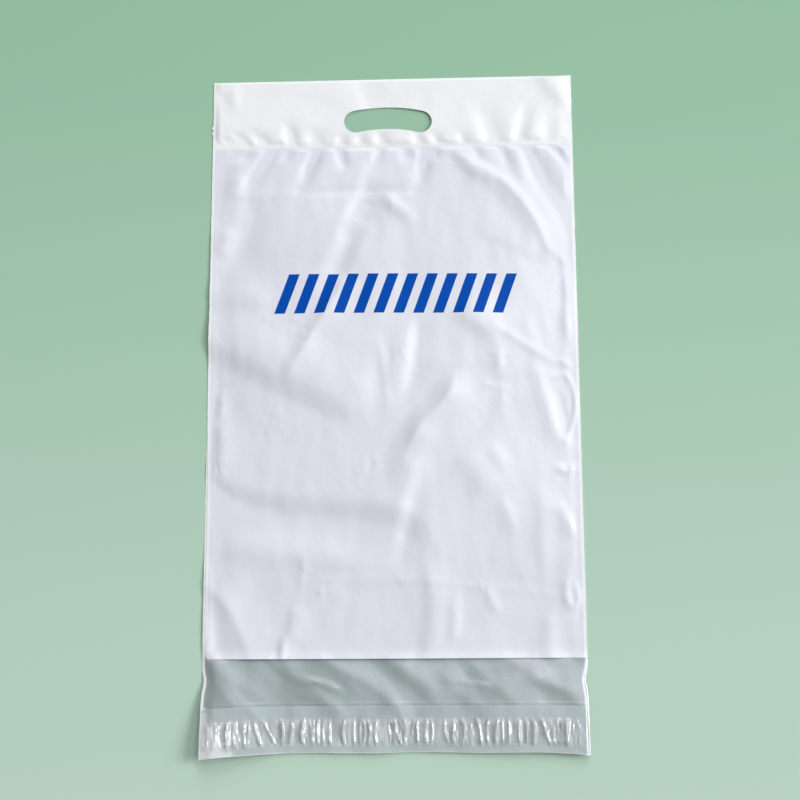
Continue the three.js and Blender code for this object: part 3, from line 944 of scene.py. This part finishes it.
@dataclass(frozen=True)
class FilmFinish:
    """The look of one side of a plastic film. Colours are linear."""

    name: str
    colour: Colour
    shade: Colour
    roughness: float
    crinkle: float
    draw_lines: float
    bump_depth: float
    specular: float = 0.5
    alpha: float = 1.0
    ink: Colour | None = None
    # Whiter colour over that mask: doubled film, and a painted glare on the flap's curled corner
    welded: Colour | None = None
    weld_lines: WeldAndGlareLines = WeldAndGlareLines()
    # Strength of the painted sheens, slanted bands of painted reflection
    sheen: float = 0.0
    streaks: float = 0.0
    coat: float = 0.0
    coat_roughness: float = 0.08

    def make(self, groups: FilmGroups) -> bpy.types.Material:
        """Builds the material.

        Args:
            groups: The shader groups that films share.

        Returns:
            The material.
        """
        material = bpy.data.materials.new(self.name)
        material.use_nodes = True
        sheet = NodeSheet(material.node_tree)
        shader = material.node_tree.nodes["Principled BSDF"]
        surface = sheet.add("ShaderNodeGroup", {"node_tree": groups.grain})
        surface.inputs["Crinkle"].default_value = self.crinkle
        surface.inputs["Draw Lines"].default_value = self.draw_lines
        surface.inputs["Bump Depth"].default_value = self.bump_depth
        # The grey film's slanted sheens are painted reflection; other finishes get random tone or streaks
        if self.sheen or self.streaks:
            tone_or_sheen = self.drawn_tone(sheet)
        else:
            tone_or_sheen = sheet.step(surface.outputs["Tone"], -0.25, 0.25)
        colour = blended(sheet, tone_or_sheen, self.shade, self.colour)
        roughness = sheet.sum_up("MULTIPLY_ADD", surface.outputs["Gloss"], 0.25, self.roughness)
        # Whitens doubled film, and paints glare over the flap's curled corner where a corner line is given
        if self.welded:
            doubled = sheet.add("ShaderNodeGroup", {"node_tree": groups.welds})
            for label, value in asdict(self.weld_lines).items():
                doubled.inputs[label.title()].default_value = value
            colour = blended(sheet, doubled.outputs["Welded"], colour, self.welded)
        if self.ink:
            printed = sheet.add("ShaderNodeGroup", {"node_tree": groups.bars})
            for label, value in PRINT_STRIP.items():
                printed.inputs[label].default_value = value
            colour = blended(sheet, printed.outputs["Ink"], colour, self.ink)
            lost = -0.9 * self.specular
            dulled = sheet.sum_up("MULTIPLY_ADD", printed.outputs["Ink"], lost, self.specular)
            sheet.feed(shader, "Specular IOR Level", dulled)
        sheet.feed(shader, "Base Color", colour)
        sheet.feed(shader, "Roughness", roughness)
        sheet.feed(shader, "Normal", surface.outputs["Normal"])
        shader.inputs["Specular IOR Level"].default_value = self.specular
        shader.inputs["Alpha"].default_value = self.alpha
        shader.inputs["Coat Weight"].default_value = self.coat
        shader.inputs["Coat Roughness"].default_value = self.coat_roughness
        return material

    def drawn_tone(self, sheet: NodeSheet) -> bpy.types.NodeSocket:
        """Lays long slanted painted sheens, drifting lighter towards the right, or upright streaks where
        the finish has those.
        """
        drawn = PAINTED_SHEENS if self.sheen else STREAKS
        place = sheet.object_place()
        laid = sheet.add("ShaderNodeMapping", {"vector_type": "TEXTURE"}, Vector=place)
        laid.inputs["Rotation"].default_value = (0.0, 0.0, drawn.turn)
        laid.inputs["Scale"].default_value = (*drawn.size, 1.0)
        tone = sheet.swells(laid.outputs[0], 1.0, 1.5)
        # The drift paints the sheens lighter towards the piece's right, as painted light
        if drawn.drift:
            across = sheet.add("ShaderNodeSeparateXYZ", Vector=place).outputs["X"]
            tone = sheet.sum_up("MULTIPLY_ADD", across, drawn.drift, tone)
        reach = 0.12 / max(self.sheen, self.streaks)
        return sheet.step(tone, 0.5 - reach, 0.5 + reach)


PRINT_STRIP = {
    "Centre X": 0.0035, "Centre Y": 0.1035, "Half Length": 0.1095, "Half Height": 0.0193,
    "Pitch": 0.0188, "Share": 0.54, "Slant": 0.36,
}

# The whiter band above the seal is the doubled film, and partly painted light, as the handle band is lit
# brighter
FILM_OUTSIDE = FilmFinish(
    name="white film", colour=linear(232, 235, 245), shade=linear(226, 229, 240), roughness=0.34,
    crinkle=0.35, draw_lines=0.6, bump_depth=0.0003, ink=linear(6, 78, 178), welded=linear(244, 246, 250),
    weld_lines=WeldAndGlareLines(seal=0.2525, left=0.1725, right=0.1725),
)
# Its slanted sheens between shade and colour are painted reflection, lighter towards the right as painted
# light, and its corner line paints glare
FILM_INSIDE = FilmFinish(
    name="grey film", colour=linear(186, 196, 201), shade=linear(158, 171, 171), roughness=0.28,
    crinkle=0.4, draw_lines=0.8, bump_depth=0.0003, welded=linear(240, 243, 246),
    weld_lines=WeldAndGlareLines(left=0.1724, right=0.1742, corner=0.301, end=0.3216), sheen=0.8,
)
# Its corner line paints glare over the flap's curled corner
LINER_FILM = FilmFinish(
    name="liner film", colour=linear(226, 238, 241), shade=linear(218, 231, 234), roughness=0.14,
    crinkle=0.8, draw_lines=1.0, bump_depth=0.0003, specular=1.0, alpha=0.36, welded=linear(246, 248, 250),
    weld_lines=WeldAndGlareLines(corner=0.301), coat=1.0,
)
# Its corner line paints glare over the flap's curled corner
HOT_MELT = FilmFinish(
    name="hot melt", colour=linear(232, 229, 223), shade=linear(170, 172, 168), roughness=0.3,
    crinkle=1.4, draw_lines=0.2, bump_depth=0.0005, streaks=1.2, coat=0.5, welded=linear(244, 246, 248),
    weld_lines=WeldAndGlareLines(corner=0.301),
)


# The pieces of the bag


@dataclass
class BagFilm:
    """The bag itself: two plies of one film, welded together, with the carry slot punched out."""

    shape: BagShape
    outside: bpy.types.Material
    inside: bpy.types.Material
    slot_length: float = 85.5
    slot_width: float = 22.5
    slot_arch: float = 3.5
    slot_above_seal: float = 25.5
    slot_offset: float = -4.5
    punch_low: float = -10.0
    punch_height: float = 30.0
    edge_inset: float = 1.9

    def front_ply(self) -> bpy.types.Object:
        """Makes the printed ply, from the mouth to the handle end."""
        shape = self.shape
        columns = spaced(
            (-shape.half_width, -160.0, 1.4), (-160.0, 160.0, 2.4), (160.0, shape.half_width, 1.25),
        )
        rows = spaced(
            (shape.mouth, 234.0, 3.0), (234.0, 280.0, 1.25),
            (280.0, 319.0, 2.4), (319.0, shape.handle_end, 0.6),
        )

        def place(x: np.ndarray, y: np.ndarray) -> tuple[np.ndarray, np.ndarray, np.ndarray]:
            """Lays the ply. Its left edge stands in a little from the back ply's near the mouth."""
            low = smooth(-y, -10.0, 90.0) * smooth(-x, 150.0, shape.half_width)
            across, along = shape.drift(x, y)
            return across + self.edge_inset * low, along, shape.front(x, y)

        ply = film_sheet("front_ply", columns, rows, place)
        self.dress(ply, facing=0)
        return ply

    def back_ply(self) -> bpy.types.Object:
        """Makes the ply that the bag lies on, which runs on past the mouth as the flap."""
        shape = self.shape
        columns = spaced(
            (-shape.half_width, -165.0, 1.7), (-165.0, 165.0, 3.8), (165.0, shape.half_width, 1.7),
        )
        rows = spaced(
            (shape.flap_end, -282.5, 2.4), (-282.5, -275.0, 0.9), (-275.0, -225.0, 2.4),
            (-225.0, 250.0, 7.0), (250.0, 280.0, 1.8), (280.0, shape.handle_end, 3.2),
        )

        def place(x: np.ndarray, y: np.ndarray) -> tuple[np.ndarray, np.ndarray, np.ndarray]:
            """Lays the ply."""
            return (*shape.drift(x, y), shape.back(x, y))

        ply = film_sheet("back_ply", columns, rows, place)
        self.dress(ply, facing=1)
        return ply

    def dress(self, ply: bpy.types.Object, facing: int) -> None:
        """Gives a ply both finishes, its thickness and its slot.

        Args:
            ply: The ply.
            facing: The slot of the side that faces up, 0 outside or 1 inside.
        """
        ply.data.materials.append(self.outside)
        ply.data.materials.append(self.inside)
        ply.data.polygons.foreach_set("material_index", [facing] * len(ply.data.polygons))
        thicken(ply, self.shape.film, inner_slot=1 - 2 * facing)
        punch = self.slot_punch()
        cut = ply.modifiers.new("slot", "BOOLEAN")
        cut.operation = "DIFFERENCE"
        cut.solver = "MANIFOLD"
        cut.object = punch
        settle(ply)
        bpy.data.objects.remove(punch)

    def slot_punch(self) -> bpy.types.Object:
        """Makes the punch: a stadium bent along an arc, arching towards the handle end."""
        cap = self.slot_width / 2.0
        reach = self.slot_length / 2.0 - cap
        bend = (reach**2 + self.slot_arch**2) / (2.0 * self.slot_arch)
        half_turn = math.asin(reach / bend)
        outline = bmesh.new()
        first = Vector((0.0, self.slot_arch + cap, 0.0))
        pivot = Vector((0.0, self.slot_arch - bend, 0.0))
        end = Vector((bend * math.sin(half_turn), pivot.y + bend * math.cos(half_turn), 0.0))
        trace = [outline.verts.new(first)]
        trace = self.swept(outline, trace, pivot, -half_turn, 12)
        trace = self.swept(outline, trace, end, -math.pi, 18)
        trace = self.swept(outline, trace, pivot, half_turn, 12)
        whole = outline.verts[:] + outline.edges[:]
        bmesh.ops.mirror(outline, geom=whole, axis="X", merge_dist=0.001)
        bmesh.ops.remove_doubles(outline, verts=outline.verts[:], dist=0.001)
        bmesh.ops.contextual_create(outline, geom=outline.edges[:])
        raised = bmesh.ops.extrude_face_region(outline, geom=outline.faces[:])
        top = [part for part in raised["geom"] if isinstance(part, bmesh.types.BMVert)]
        bmesh.ops.translate(outline, verts=top, vec=(0.0, 0.0, self.punch_height))
        middle = (self.slot_offset, self.shape.seal + self.slot_above_seal, self.punch_low)
        bmesh.ops.translate(outline, verts=outline.verts[:], vec=middle)
        bmesh.ops.scale(outline, verts=outline.verts[:], vec=(MM, MM, MM))
        bmesh.ops.recalc_face_normals(outline, faces=outline.faces[:])
        return placed("punch", mesh_of("punch", outline))

    @staticmethod
    def swept(
        outline: bmesh.types.BMesh, start: list[bmesh.types.BMVert],
        pivot: Vector, angle: float, steps: int,
    ) -> list[bmesh.types.BMVert]:
        """Carries the outline's last vertex along an arc.

        Args:
            outline: The mesh that holds the outline.
            start: The last vertex, in a list.
            pivot: The arc's centre.
            angle: The turn, in radians.
            steps: How many edges the arc gets.

        Returns:
            The new last vertex, in a list.
        """
        upwards = (0.0, 0.0, 1.0)
        spun = bmesh.ops.spin(outline, geom=start, cent=pivot, axis=upwards, angle=angle, steps=steps)
        return [part for part in spun["geom_last"] if isinstance(part, bmesh.types.BMVert)]

    def build(self) -> bpy.types.Object:
        """Makes the film and lets it stand for its CAD solid."""
        piece = joined("mailer_film", [self.front_ply(), self.back_ply()])
        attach(piece, "root")
        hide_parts("bag_film")
        return piece


@dataclass(frozen=True)
class Crinkle:
    """One upright ridge of the liner, by its place across the bag in millimetres and its strength."""

    place: float
    strength: float = 1.0
    lean: float = 0.0


CRINKLES = (
    Crinkle(-167, 0.8), Crinkle(-160, 0.9, 0.1), Crinkle(-151, 1.5), Crinkle(-144, 0.9),
    Crinkle(-136, 1.0), Crinkle(-131, 0.8), Crinkle(-124, 1.2, -0.3), Crinkle(-113, 1.0, -0.5),
    Crinkle(-101, 1.4), Crinkle(-93, 1.0, 0.1), Crinkle(-84, 1.6), Crinkle(-74, 0.8), Crinkle(-70, 0.9),
    Crinkle(-65, 0.7), Crinkle(-59, 1.0), Crinkle(-47, 1.1), Crinkle(-37, 0.8), Crinkle(-32, 0.7),
    Crinkle(-27, 0.9), Crinkle(-23, 1.4), Crinkle(-18, 0.9), Crinkle(1, 1.2, -0.3), Crinkle(10, 0.6),
    Crinkle(20, 1.2), Crinkle(27, 1.6), Crinkle(33, 0.8), Crinkle(45, 1.3, -0.2), Crinkle(52, 0.8),
    Crinkle(62, 1.6), Crinkle(76, 1.6, -0.15), Crinkle(82, 1.0), Crinkle(90, 1.2, 0.1),
    Crinkle(96, 0.7), Crinkle(102, 1.3), Crinkle(111, 1.2), Crinkle(118, 1.3), Crinkle(125, 1.7),
    Crinkle(135, 1.1, -0.3), Crinkle(142, 0.9, 0.3), Crinkle(153, 1.9), Crinkle(165, 0.5),
)


@dataclass
class ReleaseLiner:
    """The clear film over the adhesive, drawn into upright crinkles where it sticks."""

    shape: BagShape
    film: bpy.types.Material
    inset: float = 2.0
    above_flap: float = 0.75
    thickness: float = 0.15
    crinkle: float = 1.9
    crinkle_width: float = 1.5

    def lift(self, x: np.ndarray, y: np.ndarray) -> np.ndarray:
        """Height of the liner above the flap."""
        shape = self.shape
        low, high = shape.adhesive_low, shape.adhesive_high
        band = smooth(y, low - 1.0, low + 5.0) * (1.0 - smooth(y, high - 6.0, high + 2.0))
        total = np.zeros(x.shape)
        for crinkle in CRINKLES:
            up = y - (low + high) / 2.0
            bow = 0.014 * math.sin(crinkle.place * 1.7)
            offset = x - crinkle.place - crinkle.lean * up - bow * up * up
            total += self.crinkle * crinkle.strength * np.exp(-np.abs(offset / self.crinkle_width) ** 1.5)
        total *= 0.95 + 0.45 * film_noise(x, y * 0.6, 10.0, 2, 29.0)
        gathers = 0.25 + 0.9 * smooth(film_noise(x, y * 0.3, 20.0, 1, 37.0), -0.1, 0.4)
        fine = gathers * (1.0 - 2.6 * np.abs(film_noise(x, y * 0.22, 4.6, 2, 17.0)))
        loose = 0.5 * smooth(-y, 316.0, -shape.flap_end) + 0.25 * smooth(y, -292.0, shape.liner_edge)
        return self.above_flap + np.maximum(band * (total + fine), 0.0) + loose

    def build(self) -> bpy.types.Object:
        """Makes the liner and lets it stand for its CAD solid."""
        shape = self.shape
        edge = shape.half_width - self.inset
        columns = spaced((-edge, edge, 0.7))
        crinkled_end = shape.adhesive_high + 4.0
        rows = spaced(
            (shape.flap_end + 0.6, crinkled_end, 1.1), (crinkled_end, shape.liner_edge, 2.4),
        )

        def place(x: np.ndarray, y: np.ndarray) -> tuple[np.ndarray, np.ndarray, np.ndarray]:
            """Lays the liner on the flap."""
            return (*shape.drift(x, y), shape.back(x, y) + self.lift(x, y))

        piece = film_sheet("release_liner_film", columns, rows, place)
        piece.data.materials.append(self.film)
        thicken(piece, self.thickness, inner_slot=0)
        settle(piece, 60.0)
        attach(piece, "root")
        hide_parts("release_liner")
        return piece


@dataclass
class AdhesiveStripe:
    """The stripe of hot melt across the flap, seen through the liner."""

    shape: BagShape
    melt: bpy.types.Material
    inset: float = 11.0
    above_flap: float = 0.05
    thickness: float = 0.3

    def build(self) -> bpy.types.Object:
        """Makes the stripe and lets it stand for its CAD solid."""
        shape = self.shape
        edge = shape.half_width - self.inset
        columns = spaced((-edge, edge, 2.2))
        rows = spaced((shape.adhesive_low, shape.adhesive_high, 2.2))

        def place(x: np.ndarray, y: np.ndarray) -> tuple[np.ndarray, np.ndarray, np.ndarray]:
            """Lays the stripe on the flap."""
            return (*shape.drift(x, y), shape.back(x, y) + self.above_flap + self.thickness)

        piece = film_sheet("hot_melt_stripe", columns, rows, place)
        piece.data.materials.append(self.melt)
        thicken(piece, self.thickness, inner_slot=0)
        settle(piece)
        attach(piece, "root")
        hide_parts("adhesive_stripe")
        return piece


# The studio


def aimed(place: Point3, target: Point3) -> Euler:
    """Gives the turn of a lamp or camera that looks from one place to another."""
    return (Vector(target) - Vector(place)).to_track_quat("-Z", "Y").to_euler()


@dataclass(frozen=True)
class Softbox:
    """A soft lamp. Places and sizes are in metres, power in watts."""

    name: str
    place: Point3
    aim: Point3
    size: Point
    power: float

    def build(self) -> None:
        """Hangs the lamp."""
        lamp = bpy.data.lights.new(self.name, "AREA")
        lamp.shape = "RECTANGLE"
        lamp.size, lamp.size_y = self.size
        lamp.energy = self.power
        holder = placed(self.name, lamp)
        holder.location = self.place
        holder.rotation_euler = aimed(self.place, self.aim)


@dataclass(frozen=True)
class Key:
    """A far lamp: even over the whole bag, and soft by the angle it spans, in radians."""

    name: str
    place: Point3
    span: float
    strength: float

    def build(self) -> None:
        """Hangs the lamp, aimed at the origin."""
        lamp = bpy.data.lights.new(self.name, "SUN")
        lamp.angle = self.span
        lamp.energy = self.strength
        holder = placed(self.name, lamp)
        holder.location = self.place
        holder.rotation_euler = aimed(self.place, (0.0, 0.0, 0.0))


@dataclass
class Studio:
    """A floor with painted shade towards its far end, soft lamps and a camera that looks down on the bag.
    """

    camera_place: Point3 = (0.0059, -0.243, 1.294)
    camera_aim: Point3 = (0.0059, 0.0017, 0.0)
    camera_roll: float = math.radians(-0.28)
    lens: float = 63.0
    world_level: float = 0.32
    sensor_width: float = 36.0
    floor_reach: float = 6.0
    floor_far: Colour = linear(150, 193, 164)
    floor_near: Colour = linear(193, 219, 203)

    def camera(self) -> None:
        """Sets the camera."""
        optics = bpy.data.cameras.new("camera")
        optics.lens = self.lens
        optics.sensor_width = self.sensor_width
        holder = placed("camera", optics)
        holder.location = self.camera_place
        turn = aimed(self.camera_place, self.camera_aim)
        turn.rotate_axis("Z", self.camera_roll)
        holder.rotation_euler = turn
        bpy.context.scene.camera = holder

    def floor(self) -> None:
        """Lays the floor that the bag lies on, painted darker towards its far end as painted shade."""
        plane = bmesh.new()
        bmesh.ops.create_grid(plane, x_segments=1, y_segments=1, size=self.floor_reach)
        mesh = mesh_of("floor", plane)
        material = bpy.data.materials.new("floor paint")
        material.use_nodes = True
        shader = material.node_tree.nodes["Principled BSDF"]
        sheet = NodeSheet(material.node_tree)
        place = sheet.add("ShaderNodeSeparateXYZ", Vector=sheet.object_place())
        # Painted shade: the floor darkens from near to far, standing in for light falling off
        towards = sheet.step(place.outputs["Y"], -0.5, 0.5)
        sheet.feed(shader, "Base Color", blended(sheet, towards, self.floor_near, self.floor_far))
        shader.inputs["Roughness"].default_value = 0.9
        shader.inputs["Specular IOR Level"].default_value = 0.2
        mesh.materials.append(material)
        ground = placed("floor", mesh)

    def lights(self) -> None:
        """Sets the world's level and hangs the lamps."""
        world = bpy.data.worlds.new("studio")
        world.use_nodes = True
        background = world.node_tree.nodes["Background"]
        background.inputs["Color"].default_value = (1.0, 1.0, 1.0, 1.0)
        background.inputs["Strength"].default_value = self.world_level
        bpy.context.scene.world = world
        Key("key", place=(4.0, 0.5, 2.4), span=math.radians(26.0), strength=2.2).build()
        Key("handle side", place=(0.5, 4.0, 2.8), span=math.radians(30.0), strength=0.8).build()
        Softbox("glint", place=(0.7, 0.6, 1.5), aim=(0.0, 0.0, 0.0), size=(0.4, 0.4), power=4.0).build()

    def build(self) -> None:
        """Sets up the whole studio."""
        self.camera()
        self.floor()
        self.lights()
        bpy.context.scene.view_settings.view_transform = "Standard"


def main() -> None:
    """Builds the studio and each piece of the bag in order."""
    logging.basicConfig(level=logging.INFO, format="%(name)s: %(message)s")
    Studio().build()
    shape = BagShape.from_frame()
    groups = FilmGroups(film_grain_group(), weld_and_glare_mask_group(), bar_print_group())
    outside, inside = FILM_OUTSIDE.make(groups), FILM_INSIDE.make(groups)
    makers = (
        BagFilm(shape, outside, inside),
        AdhesiveStripe(shape, HOT_MELT.make(groups)),
        ReleaseLiner(shape, LINER_FILM.make(groups)),
    )
    for maker in makers:
        piece = maker.build()
        LOG.info("%s: %d faces", piece.name, len(piece.data.polygons))


if __name__ == "__main__":
    main()
